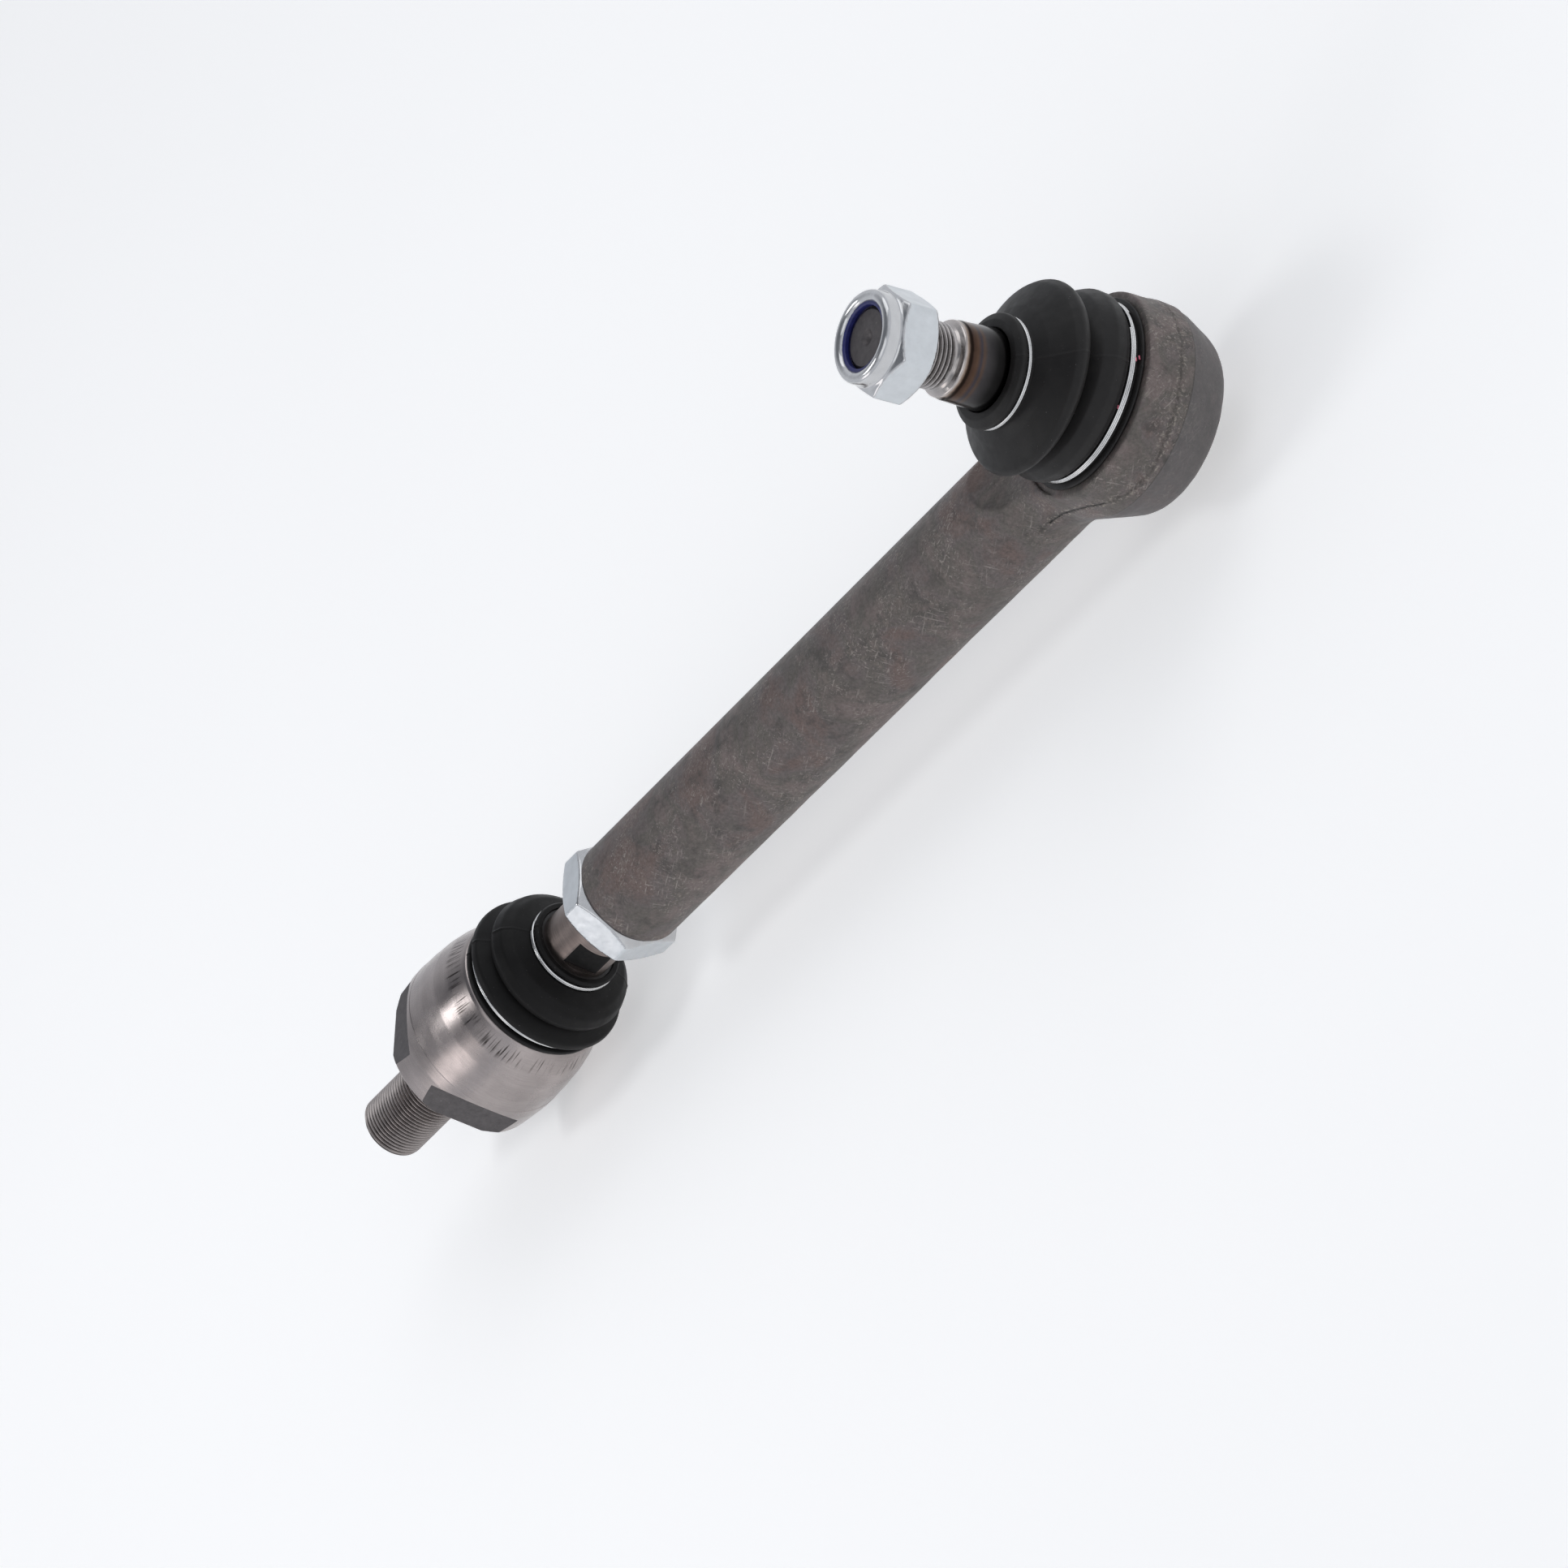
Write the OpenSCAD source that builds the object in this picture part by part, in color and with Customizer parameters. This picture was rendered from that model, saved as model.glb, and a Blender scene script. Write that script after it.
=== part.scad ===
// Adjustable steering tie rod: a forged rod with an outer ball joint and a screwed-in inner ball joint.
// Frame: +X runs along the rod towards the outer head, +Z along the head's axis, origin at the
// centre of the inner housing's thread shoulder. Millimetres.

/* [Rod] */
// Thread shoulder to the centre of the outer ball
rod_length = 370; // [340:5:420]
// Outside diameter of the rod's tube
tube_d = 36; // [34:1:38]
// Where the tube ends, measured from the thread shoulder
tube_end_x = 101.5; // [100:0.5:110]

/* [Ball joints] */
// Diameter of both balls
ball_d = 30; // [28:1:30]
// Lean of the outer stud at rest, towards -Y, degrees
stud_lean = 7; // [0:1:10]
// Inner ball centre, measured from the thread shoulder
inner_ball_x = 24; // [24:0.5:25]

/* [Threads] */
// Nominal diameter of the stud's thread
stud_thread_d = 20; // [20:1:21]
// Nominal diameter of the inner housing's thread
housing_thread_d = 22; // [20:1:24]
// Length of the inner housing's thread
housing_thread_len = 42.5; // [35:0.5:50]
// Nominal diameter of the adjusting thread between the inner ball pin and the rod
adjust_thread_d = 24; // [24:1:24]

/* [Nuts] */
// Width across flats of the stud nut
stud_nut_af = 30; // [28:0.5:32]
// Height of the stud nut
stud_nut_h = 18.5; // [18:0.5:20]
// Width across flats of the lock nut
lock_nut_af = 36; // [35:0.5:38]
// Thickness of the lock nut
lock_nut_h = 11.5; // [9:0.5:11.5]

/* [Inner housing] */
// Width across the four wrench flats
housing_af = 48.8; // [47:0.2:50]
// Length of the wrench flats
housing_flat_len = 10.8; // [8:0.2:13]

/* [Hidden] */
$fn = 96;
FORGING = "#5f5852";
STEEL = "#8d8788";
RUBBER = "#222222";
ZINC = "#c3c8ce";
RACE = "#e8e2d0";

run_gap = 0.05;                      // radial gap between parts that turn on each other
ball_r = ball_d / 2;
race_r = ball_r + run_gap;           // spherical seat round a ball
neck_r = 9;                          // stud and pin neck next to the ball
tube_r = tube_d / 2;

// outer head, heights from the rod's axis
head_bottom = -20;
head_top = 11.2;
head_collar_top = 16.5;
head_collar_r = 25.2;
head_cavity_r = 19;
head_cavity_top = 7.5;
cover_r = 21.4;
cover_top = -16.5;
cover_seat = -18.5;

// outer stud, heights along the stud from the ball centre
seat_top = 61;
seat_top_r = 11.7;
seat_foot = 47;
seat_foot_r = 12.4;                  // the seat tapers 1 in 10 on diameter
thread_start = 63.6;
stud_end = 88.3;
nut_bottom = 73.5;
nut_collar_h = 4.6;
nut_collar_r = 14.1;
bush_bottom = 42;
bush_top = 47;
lip_top = 48;

// inner joint, positions along X
flats_from_x = 72.4;
flats_to_x = 82.5;
pin_flat_af = 21;
pin_end_x = 165;
lock_nut_x = tube_end_x - lock_nut_h;
inner_cavity_r = 19.5;
inner_cavity_floor_x = 7;
closing_ring_x = 32.6;
closing_ring_t = 4;
inner_rim_x = 45;
inner_collar_r = 21.6;
inner_collar_x = 51;
flat_turn = -5;                      // the wrench flats stand 5 degrees off the frame's axes
lock_nut_turn = 88;                  // how each nut stands about its own axis
stud_nut_turn = 4.5;

module along_x(x = 0) translate([x, 0, 0]) rotate([0, 90, 0]) children();
module at_head() translate([rod_length, 0, 0]) children();
module on_stud() at_head() rotate([stud_lean, 0, 0]) children();

// a body of revolution about Z from [radius, height] points
module turned(points) rotate_extrude() polygon(points);

// points of an arc, for outlines
function arc(c, r, a0, a1, n = 12) =
    [for (i = [0:n]) c + r * [cos(a0 + (a1 - a0) * i / n), sin(a0 + (a1 - a0) * i / n)]];

// outline of a ball from its pole out to a neck of the given radius
function ball_to_neck(neck) =
    arc([0, 0], ball_r, -90, 90 - asin(neck / ball_r), 24);

// hexagon nut blank with both faces chamfered at 30 degrees
module hex_blank(af, h, face_r) {
    corner_r = af / sqrt(3);
    drop = (corner_r - face_r) * tan(30);
    intersection() {
        cylinder(r = corner_r, h = h, $fn = 6);
        turned([[0, 0], [face_r, 0], [corner_r, drop], [corner_r, h - drop], [face_r, h], [0, h]]);
    }
}

// forged head, tube and the bores in both
module rod_body() {
    color(FORGING) difference() {
        union() {
            along_x(tube_end_x) cylinder(r = tube_r, h = rod_length - tube_end_x - 28);
            stem();
            at_head() head_forging();
        }
        at_head() head_bores();
        along_x(tube_end_x - 1) cylinder(r = adjust_thread_d / 2 + run_gap, h = 86);
        along_x(tube_end_x + 84) cylinder(r = 10.5, h = 12);
        at_head() boot_clearance();
    }
}

// scooped top of the stem, and the spot face under the boot's flange
module boot_clearance() {
    scoop_r = 22;
    scoop_x = -38;
    scoop_z = 12.4;
    difference() {
        union() {
            translate([scoop_x, 0, scoop_z + scoop_r]) rotate([90, 0, 0])
                cylinder(r = scoop_r, h = 3 * tube_r, center = true);
            translate([scoop_x, -1.5 * tube_r, scoop_z]) cube([-scoop_x, 3 * tube_r, scoop_r]);
            translate([0, 0, head_top]) cylinder(r = 30.8, h = scoop_r);
        }
        cylinder(r = head_collar_r, h = head_collar_top);
    }
}

// web between tube and head, with a tangent fillet on each side in plan
module stem() {
    fillet_r = 12;
    web_r = 32;                      // the head's radius that the fillets run into
    half = tube_r - 1;
    fx = -sqrt(pow(web_r + fillet_r, 2) - pow(half + fillet_r, 2));
    reach = -atan2(half + fillet_r, -fx);
    side = arc([fx, half + fillet_r], fillet_r, -90, reach, 12);
    outline = concat([[-70, half - 4]], side, [[0, 0]],
        [for (i = [len(side) - 1:-1:0]) [side[i][0], -side[i][1]]], [[-70, 4 - half]]);
    intersection() {
        at_head() translate([0, 0, head_bottom + 4])
            linear_extrude(head_top - head_bottom - 5) polygon(outline);
        along_x(rod_length - 62) cylinder(r1 = tube_r - 0.3, r2 = tube_r + 22, h = 62);
    }
}

module head_forging() {
    turned(concat(
        [[0, head_bottom]],
        arc([22.3, head_bottom + 6], 6, -90, 0, 8),
        [[29.2, -11.5], [30.6, -8.5], [32, -5.5], [32.6, -3.6], [32.6, -1.2], [32.2, 2],
        [31.6, 8], [31.2, head_top - 1.2], [30.2, head_top], [head_collar_r, head_top],
        [head_collar_r, head_collar_top], [0, head_collar_top]]));
}

// socket for the races and cover, and the stud's opening
module head_bores() {
    translate([0, 0, cover_top - 1]) cylinder(r = head_cavity_r, h = head_cavity_top - cover_top + 1);
    translate([0, 0, cover_seat]) cylinder(r = cover_r, h = cover_top - cover_seat);
    translate([0, 0, head_bottom - 1]) cylinder(r = head_cavity_r + 0.6, h = 3);
    translate([0, 0, head_cavity_top - 0.01])
        cylinder(r1 = 15.5, r2 = 21, h = head_collar_top - head_cavity_top + 0.02);
}

module outer_end_cover() {
    color(STEEL) at_head() turned([[0, -19.5], [12, -19.5], [14.5, cover_seat], [cover_r, cover_seat],
        [cover_r, cover_top], [13.6, cover_top], [11.2, -17.8], [0, -17.8]]);
}

module outer_preload_spring() {
    color(STEEL) at_head() turned([[4, -16.8], [7.8, -17.8], [8.6, -17.8], [8.6, -17.3],
        [4.9, -16.3], [4, -16.3]]);
}

module outer_pressure_plate() {
    color(RACE) at_head() difference() {
        translate([0, 0, -16.25]) cylinder(r = 8.8, h = 4);
        sphere(r = race_r);
    }
}

module outer_lower_race() {
    wall_r = head_cavity_r - run_gap;
    color(RACE) at_head() difference() {
        turned([[9.4, -16.45], [wall_r, -16.45], [wall_r, -0.3], [9.4, -0.3]]);
        sphere(r = race_r);
    }
}

module outer_upper_race() {
    wall_r = head_cavity_r - run_gap;
    top = head_cavity_top - 0.05;
    color(RACE) at_head() difference() {
        turned([[9, 0.3], [wall_r, 0.3], [wall_r, top], [9, top]]);
        sphere(r = race_r);
    }
}

module outer_ball_stud() {
    r = stud_thread_d / 2;
    color(STEEL) on_stud() turned(concat(
        ball_to_neck(neck_r),
        [[neck_r, 19], [seat_foot_r, 32], [seat_foot_r, seat_foot]],
        arc([seat_top_r - 1.9, seat_top], 1.9, 0, 80, 6),
        [[r - 0.9, thread_start - 0.4], [r - 0.9, thread_start + 0.6], [r, thread_start + 1.5],
        [r, stud_end - 1.6], [r - 1.5, stud_end], [0, stud_end]]));
}

// bellows wall: outer half upright on the head, inner half square to the stud
module outer_boot() {
    color(RUBBER) union() {
        at_head() turned([[head_collar_r + 0.1, 11.3], [29.7, 11.3], [29.7, 12.7], [27, 13],
            [27, 15.6], [28.2, 16.6], [28.9, 19], [28.6, 22], [26.4, 25], [25.2, 27.4],
            [26.6, 29.4], [22.6, 29.4], [22.2, 26], [25, 20], [head_collar_r + 0.1, 17]]);
        on_stud() turned([[21, 27], [27.2, 28.8], [29, 31.2], [28.6, 33.4], [26, 35.6],
            [20.6, 39.6], [16, 42.7], [16, 44.6], [17.2, 45.2], [17.2, 46.8], [15, lip_top],
            [13.45, lip_top], [13.45, 41.6], [15.4, 41], [19.4, 38], [25.4, 33.4], [25.8, 31.2]]);
    }
}

module outer_boot_ring_large() {
    color(ZINC) at_head() turned([[27.05, 13.1], [27.9, 13.1], [27.9, 15.5], [27.05, 15.5]]);
}

module outer_boot_ring_small() {
    color(ZINC) on_stud() turned([[16.05, 42.9], [16.9, 42.9], [16.9, 44.4], [16.05, 44.4]]);
}

module outer_boot_bush() {
    color(RACE) on_stud() turned([[seat_foot_r + run_gap, bush_bottom], [13.4, bush_bottom],
        [13.4, bush_top], [seat_foot_r + run_gap, bush_top]]);
}

// hexagon with a rolled collar that holds the insert
module stud_nut() {
    collar_from = stud_nut_h - nut_collar_h;
    face_r = stud_nut_af / 2 * 0.95;
    color(ZINC) on_stud() translate([0, 0, nut_bottom]) rotate([0, 0, stud_nut_turn]) difference() {
        union() {
            hex_blank(stud_nut_af, collar_from, face_r);
            translate([0, 0, collar_from - 0.01])
                turned(concat([[0, 0], [nut_collar_r - 0.6, 0], [nut_collar_r, 0.8]],
                    arc([nut_collar_r - 1.8, nut_collar_h - 1.8], 1.8, 0, 90, 6),
                    [[0, nut_collar_h]]));
        }
        translate([0, 0, -1]) cylinder(r = stud_thread_d / 2 + run_gap, h = stud_nut_h + 2);
        translate([0, 0, collar_from]) cylinder(r = 11.6, h = 3);
        translate([0, 0, collar_from]) cylinder(r = 11, h = nut_collar_h + 1);
    }
}

module stud_nut_insert() {
    color("#15195f") on_stud() translate([0, 0, nut_bottom + stud_nut_h - nut_collar_h + 0.05])
        turned([[stud_thread_d / 2 + run_gap, 0], [11.55, 0], [11.55, 2.9], [stud_thread_d / 2 + run_gap, 2.9]]);
}

module lock_nut() {
    color(ZINC) along_x(lock_nut_x) rotate([0, 0, lock_nut_turn]) difference() {
        hex_blank(lock_nut_af, lock_nut_h, lock_nut_af / 2 * 0.95);
        translate([0, 0, -1]) cylinder(r = adjust_thread_d / 2 + run_gap, h = lock_nut_h + 2);
    }
}

// ball, neck, round shank with two wrench flats, adjusting thread
module inner_ball_pin() {
    r = adjust_thread_d / 2;
    color(STEEL) difference() {
        along_x(inner_ball_x) turned(concat(
            ball_to_neck(neck_r),
            [[neck_r, 31], [r, 38], [r, pin_end_x - inner_ball_x - 1.5],
            [r - 1.5, pin_end_x - inner_ball_x], [0, pin_end_x - inner_ball_x]]));
        for (side = [-1, 1]) rotate([flat_turn, 0, 0])
            translate([flats_from_x, side * (pin_flat_af / 2 + 5) - 5, -r - 1])
                cube([flats_to_x - flats_from_x, 10, 2 * r + 2]);
    }
}

// turned housing with four wrench flats and the outside thread
module inner_housing() {
    half = housing_af / 2;
    color(STEEL) difference() {
        along_x() turned([[0, -housing_thread_len], [housing_thread_d / 2 - 1, -housing_thread_len],
            [housing_thread_d / 2, 1.4 - housing_thread_len], [housing_thread_d / 2, 0],
            [26.2, 0], [28.3, 2.4], [28.8, 9], [29.3, 17], [29.1, 24], [28.4, 32], [27.5, 38],
            [26.4, 42], [25.6, inner_rim_x - 0.4], [25, inner_rim_x], [inner_collar_r, inner_rim_x],
            [inner_collar_r, inner_collar_x], [0, inner_collar_x]]);
        for (k = [0:3]) rotate([90 * k + flat_turn, 0, 0])
            translate([-1, half, -30]) cube([housing_flat_len + 1, 10, 60]);
        along_x(inner_cavity_floor_x)
            cylinder(r = inner_cavity_r, h = closing_ring_x + closing_ring_t - inner_cavity_floor_x);
        along_x(closing_ring_x + closing_ring_t - 0.01)
            cylinder(r1 = 16.2, r2 = 18.8, h = inner_collar_x - closing_ring_x - closing_ring_t + 0.02);
    }
}

module inner_race_lower() {
    color(RACE) difference() {
        along_x(inner_cavity_floor_x + 0.05)
            cylinder(r = inner_cavity_r - run_gap, h = inner_ball_x - inner_cavity_floor_x - 0.35);
        translate([inner_ball_x, 0, 0]) sphere(r = race_r);
        along_x(inner_cavity_floor_x - 1) cylinder(r = 6, h = 10);
    }
}

module inner_race_upper() {
    color(RACE) difference() {
        along_x(inner_ball_x + 0.3)
            cylinder(r = inner_cavity_r - run_gap, h = closing_ring_x - inner_ball_x - 0.35);
        translate([inner_ball_x, 0, 0]) sphere(r = race_r);
    }
}

module inner_closing_ring() {
    color(STEEL) along_x(closing_ring_x) difference() {
        cylinder(r = inner_cavity_r, h = closing_ring_t);
        translate([0, 0, -0.01]) cylinder(r1 = 14.2, r2 = 15.8, h = closing_ring_t + 0.02);
    }
}

module inner_boot() {
    color(RUBBER) along_x() turned([[inner_collar_r + 0.1, inner_rim_x + 0.1], [25.2, inner_rim_x + 0.1],
        [25.2, 46.6], [23.5, 47], [23.5, 49.2], [25.6, 49.6], [26.8, 51.6], [26, 54.4], [22.2, 56.8],
        [23.8, 58.6], [23.8, 61], [22.4, 63.8], [16, 66.4], [14.3, 67.2], [14.3, 69], [15.2, 69.4],
        [15.3, 70.6], [14.6, 71.2], [13.1, 71.2], [13.1, 66], [15, 64.4], [20.4, 62],
        [20, 56.8], [23, 53], [22, 51.2], [inner_collar_r + 0.1, 51.2]]);
}

module inner_boot_ring_large() {
    color(ZINC) along_x() turned([[23.55, 47.1], [24.3, 47.1], [24.3, 49.1], [23.55, 49.1]]);
}

module inner_boot_ring_small() {
    color(ZINC) along_x() turned([[14.35, 67.3], [15.2, 67.3], [15.2, 68.9], [14.35, 68.9]]);
}

module inner_boot_sleeve() {
    color(RACE) along_x(66.2) difference() {
        cylinder(r = 13, h = 4.4);
        translate([0, 0, -1]) cylinder(r = adjust_thread_d / 2 + run_gap, h = 7);
    }
}

rod_body();
outer_end_cover();
outer_preload_spring();
outer_pressure_plate();
outer_lower_race();
outer_upper_race();
outer_ball_stud();
outer_boot();
outer_boot_ring_large();
outer_boot_ring_small();
outer_boot_bush();
stud_nut();
stud_nut_insert();
lock_nut();
inner_ball_pin();
inner_housing();
inner_race_lower();
inner_race_upper();
inner_closing_ring();
inner_boot();
inner_boot_ring_large();
inner_boot_ring_small();
inner_boot_sleeve();
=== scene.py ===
"""Tie rod end: the visual model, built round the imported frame. Shape helpers work in millimetres."""

import math

import bmesh
import bpy
import numpy as np
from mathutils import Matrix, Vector


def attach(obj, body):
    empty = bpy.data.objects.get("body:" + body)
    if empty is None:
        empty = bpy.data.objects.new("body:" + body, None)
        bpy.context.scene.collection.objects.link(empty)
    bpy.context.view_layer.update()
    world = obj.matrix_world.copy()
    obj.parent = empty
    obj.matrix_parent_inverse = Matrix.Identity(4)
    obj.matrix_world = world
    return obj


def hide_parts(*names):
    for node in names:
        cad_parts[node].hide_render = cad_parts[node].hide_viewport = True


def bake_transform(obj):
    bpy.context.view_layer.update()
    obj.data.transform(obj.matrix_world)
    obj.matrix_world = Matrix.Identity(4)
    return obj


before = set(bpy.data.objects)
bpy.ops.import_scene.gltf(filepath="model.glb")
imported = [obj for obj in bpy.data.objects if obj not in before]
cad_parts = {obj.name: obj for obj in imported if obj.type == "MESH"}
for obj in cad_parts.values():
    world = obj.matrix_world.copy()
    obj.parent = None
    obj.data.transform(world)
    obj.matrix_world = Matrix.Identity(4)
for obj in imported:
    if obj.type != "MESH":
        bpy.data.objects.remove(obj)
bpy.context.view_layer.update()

MM = 0.001
HEAD_X = 370.0                       # ball centre of the outer joint
INNER_X = 24.0                       # ball centre of the inner joint
LEAN = math.radians(7)               # the outer stud's lean towards -Y
STUD_AXIS = np.array([0.0, -math.sin(LEAN), math.cos(LEAN)])
PITCH = 1.5                          # of all three threads
TUBE_END = 101.5                     # the rod's open end
BALL_R = 15.0                        # both balls
STUD_R = 10.0                        # thread radii, to the crests
PIN_R = 12.0
STUB_R = 11.0
STUD_TOP = 88.0                      # where the stud's thread ends, along the stud
LOCK_NUT_H = 11.5
HOUSING_TOP = 45.0                   # the inner housing's rim
AXIS_X = (1, 0, 0)


# ---- placing
def along_rod(p):
    """Local Z becomes the row's +X."""
    return np.c_[p[:, 2], p[:, 1], -p[:, 0]]


def on_head(p):
    return p + [HEAD_X, 0, 0]


def tilted(p, a):
    """Turned by angle a about X."""
    c, s = np.cos(a), np.sin(a)
    return np.c_[p[:, 0], p[:, 1] * c - p[:, 2] * s, p[:, 1] * s + p[:, 2] * c]


def leaned(p):
    """Turned by the stud's lean about the outer ball, then moved to it."""
    return on_head(tilted(p, LEAN))


# ---- noise
_lattice = {}


def value_noise(p, size, seed):
    """Smooth noise from -1 to 1 at points p, with features about size mm across."""
    if seed not in _lattice:
        _lattice[seed] = np.random.default_rng(seed).uniform(-1, 1, (32, 32, 32))
    grid = _lattice[seed]
    q = p / size
    base = np.floor(q).astype(int)
    t = q - base
    t = t * t * (3 - 2 * t)
    out = np.zeros(len(p))
    for corner in np.ndindex(2, 2, 2):
        i = (base + corner) % 32
        out += np.where(corner, t, 1 - t).prod(1) * grid[i[:, 0], i[:, 1], i[:, 2]]
    return out


# ---- profiles and lathes
def rounded(points, closed=False, turn=15.0):
    """[(radius, height, fillet)] to a polyline whose corners are arcs."""
    pts = [(*p, 0.0) if len(p) == 2 else p for p in points]
    n = len(pts)
    out = []
    for i, (x, y, fillet) in enumerate(pts):
        here = np.array([x, y], float)
        if fillet <= 0 or (not closed and i in (0, n - 1)):
            out.append(here)
            continue
        a = np.array(pts[i - 1][:2], float) - here
        b = np.array(pts[(i + 1) % n][:2], float) - here
        la, lb = np.linalg.norm(a), np.linalg.norm(b)
        a, b = a / la, b / lb
        angle = math.acos(max(-1.0, min(1.0, float(a @ b))))
        if angle > math.pi - 0.02:
            out.append(here)
            continue
        reach = min(fillet / math.tan(angle / 2), 0.49 * la, 0.49 * lb)
        r = reach * math.tan(angle / 2)
        centre = here + (a + b) / np.linalg.norm(a + b) * r / math.sin(angle / 2)
        start, end = here + a * reach - centre, here + b * reach - centre
        t0 = math.atan2(start[1], start[0])
        sweep = (math.atan2(end[1], end[0]) - t0 + math.pi) % (2 * math.pi) - math.pi
        steps = max(2, int(math.ceil(abs(math.degrees(sweep)) / turn)))
        for k in range(steps + 1):
            t = t0 + sweep * k / steps
            out.append(centre + r * np.array([math.cos(t), math.sin(t)]))
    return np.array(out)


def dense(line, step, closed=False):
    """The same polyline with no segment longer than step."""
    out = []
    ends = np.roll(line, -1, axis=0) if closed else line[1:]
    for a, b in zip(line, ends):
        k = max(1, int(math.ceil(np.linalg.norm(b - a) / step)))
        out += [a + (b - a) * i / k for i in range(k)]
    if not closed:
        out.append(line[-1])
    return np.array(out)


def grid_faces(rows, cols, wrap_rows=False):
    faces = []
    for i in range(rows if wrap_rows else rows - 1):
        a, b = i * cols, ((i + 1) % rows) * cols
        faces += [(a + j, a + (j + 1) % cols, b + (j + 1) % cols, b + j) for j in range(cols)]
    return faces


def fan(pts, faces, row, cols, centre):
    """Closes one row of a grid with triangles to a point."""
    first = row * cols
    faces += [(first + j, first + (j + 1) % cols, len(pts)) for j in range(cols)]
    return np.vstack([pts, centre])


def lathe(profile, cols=96, closed=False, angles=None, shape=None):
    """A turned mesh about local Z. Open profiles are closed by a fan at each end.
    angles is a [rows, cols] array; shape(r, h, a) returns new r and h arrays."""
    rows = len(profile)
    if angles is None:
        angles = np.tile(np.arange(cols) * 2 * math.pi / cols, (rows, 1))
    cols = angles.shape[1]
    r = np.repeat(profile[:, :1], cols, axis=1)
    h = np.repeat(profile[:, 1:2], cols, axis=1)
    if shape:
        r, h = shape(r, h, angles)
    pts = np.c_[(r * np.cos(angles)).ravel(), (r * np.sin(angles)).ravel(), h.ravel()]
    faces = grid_faces(rows, cols, closed)
    if not closed:
        for row in (0, rows - 1):
            pts = fan(pts, faces, row, cols, [0, 0, float(np.mean(h[row]))])
    return pts, faces


def flat_angles(row_r, half, count, phase, in_flat=10, in_round=10):
    """Angles for one lathe row on which count flats at distance half start exactly on a vertex."""
    a = math.acos(min(1.0, half / row_r)) if row_r > half else 0.02
    period = 2 * math.pi / count
    out = []
    for k in range(count):
        c = phase + k * period
        out += list(np.linspace(c - a, c + a, in_flat, endpoint=False))
        out += list(np.linspace(c + a, c + period - a, in_round, endpoint=False))
    return np.array(out)


def flatted(profile, reach, count, phase, in_flat=10, in_round=10):
    """angles and shape for lathe() that cut count flats. reach(h) is the flats' distance at height h."""
    half = np.array([reach(h) for _, h in profile])
    cut_rows = [flat_angles(r, k, count, phase, in_flat, in_round) if r > k else None
                for (r, _), k in zip(profile, half)]
    last = next(row for row in cut_rows if row is not None)
    rows = []
    for row in cut_rows:
        last = last if row is None else row
        rows.append(last)
    period = 2 * math.pi / count

    def shape(r, h, a):
        off = (a - phase + period / 2) % period - period / 2
        cut = half[:, None] / np.cos(off)
        return np.where(cut < r, cut, r), h

    return np.array(rows), shape


def thread(major, h0, h1, cols=96, low_taper=1.2, high_taper=1.2, low_fade=0.0, high_fade=0.0):
    """A closed threaded bar about local Z, right-handed, with real helical ridges."""
    depth = 0.6 * PITCH
    marks = [0.0, 0.22, 0.50, 0.56, 0.66, 0.72]
    reach = [0.0, 0.0, 0.86, 1.0, 1.0, 0.86]
    turns = int(math.ceil((h1 - h0) / PITCH)) + 2
    col = np.arange(cols) / cols
    pts = []
    for i in range(turns):
        for mark, up in zip(marks, reach):
            h = h0 + (i - 1 + mark + col) * PITCH
            hc = np.clip(h, h0, h1)
            fade = np.ones(cols)
            if low_fade:
                fade *= np.clip((hc - h0) / low_fade, 0, 1)
            if high_fade:
                fade *= np.clip((h1 - hc) / high_fade, 0, 1)
            r = major - depth * (1 - up * fade)
            r = np.minimum(r, major - low_taper + (hc - h0) * 1.2)
            r = np.minimum(r, major - high_taper + (h1 - hc) * 1.2)
            a = col * 2 * math.pi
            pts.append(np.c_[r * np.cos(a), r * np.sin(a), hc])
    rows = len(pts)
    per = len(marks)
    pts = np.vstack(pts)
    faces = []
    for i in range(rows - 1):
        for j in range(cols):
            # the last column joins the first one a whole turn further along
            k = (j + 1) % cols
            up = per if j == cols - 1 else 0
            if i + 1 + up < rows:
                faces.append((i * cols + j, (i + up) * cols + k, (i + 1 + up) * cols + k, (i + 1) * cols + j))
    # a fan closes each end that is tapered to a plain circle
    for row, h, taper in ((0, h0, low_taper), (rows - 1, h1, high_taper)):
        if taper:
            pts = fan(pts, faces, row, cols, [0, 0, h])
    return pts, faces


def sweep(path, size, sides=10, flat=1.0):
    """A closed wire along path. size is its radius; flat stretches it along local Z."""
    path = np.array(path, float)
    tangent = np.gradient(path, axis=0)
    tangent /= np.linalg.norm(tangent, axis=1)[:, None]
    up = np.array([0.0, 0.0, 1.0])
    side = np.cross(tangent, up)
    side /= np.linalg.norm(side, axis=1)[:, None]
    lift = np.cross(side, tangent)
    a = np.arange(sides) * 2 * math.pi / sides
    pts = [p + size * np.cos(a)[:, None] * s + size * flat * np.sin(a)[:, None] * u
           for p, s, u in zip(path, side, lift)]
    pts = np.vstack(pts)
    rows = len(path)
    faces = grid_faces(rows, sides)
    for row in (0, rows - 1):
        pts = fan(pts, faces, row, sides, path[row])
    return pts, faces


def coil(r, h0, h1, a0, a1, wobble=0.0, step=3.0):
    """Helix points in degrees a0 to a1, radius r, height h0 to h1."""
    n = int(abs(a1 - a0) / step) + 2
    a = np.radians(np.linspace(a0, a1, n))
    h = np.linspace(h0, h1, n)
    rr = r + wobble * np.sin(a * 2.3 + 1.0)
    return np.c_[rr * np.cos(a), rr * np.sin(a), h]


# ---- solids from distance fields
def soft_max(a, b, k):
    t = np.clip(0.5 + 0.5 * (a - b) / k, 0, 1)
    return b + (a - b) * t + k * t * (1 - t)


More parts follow.
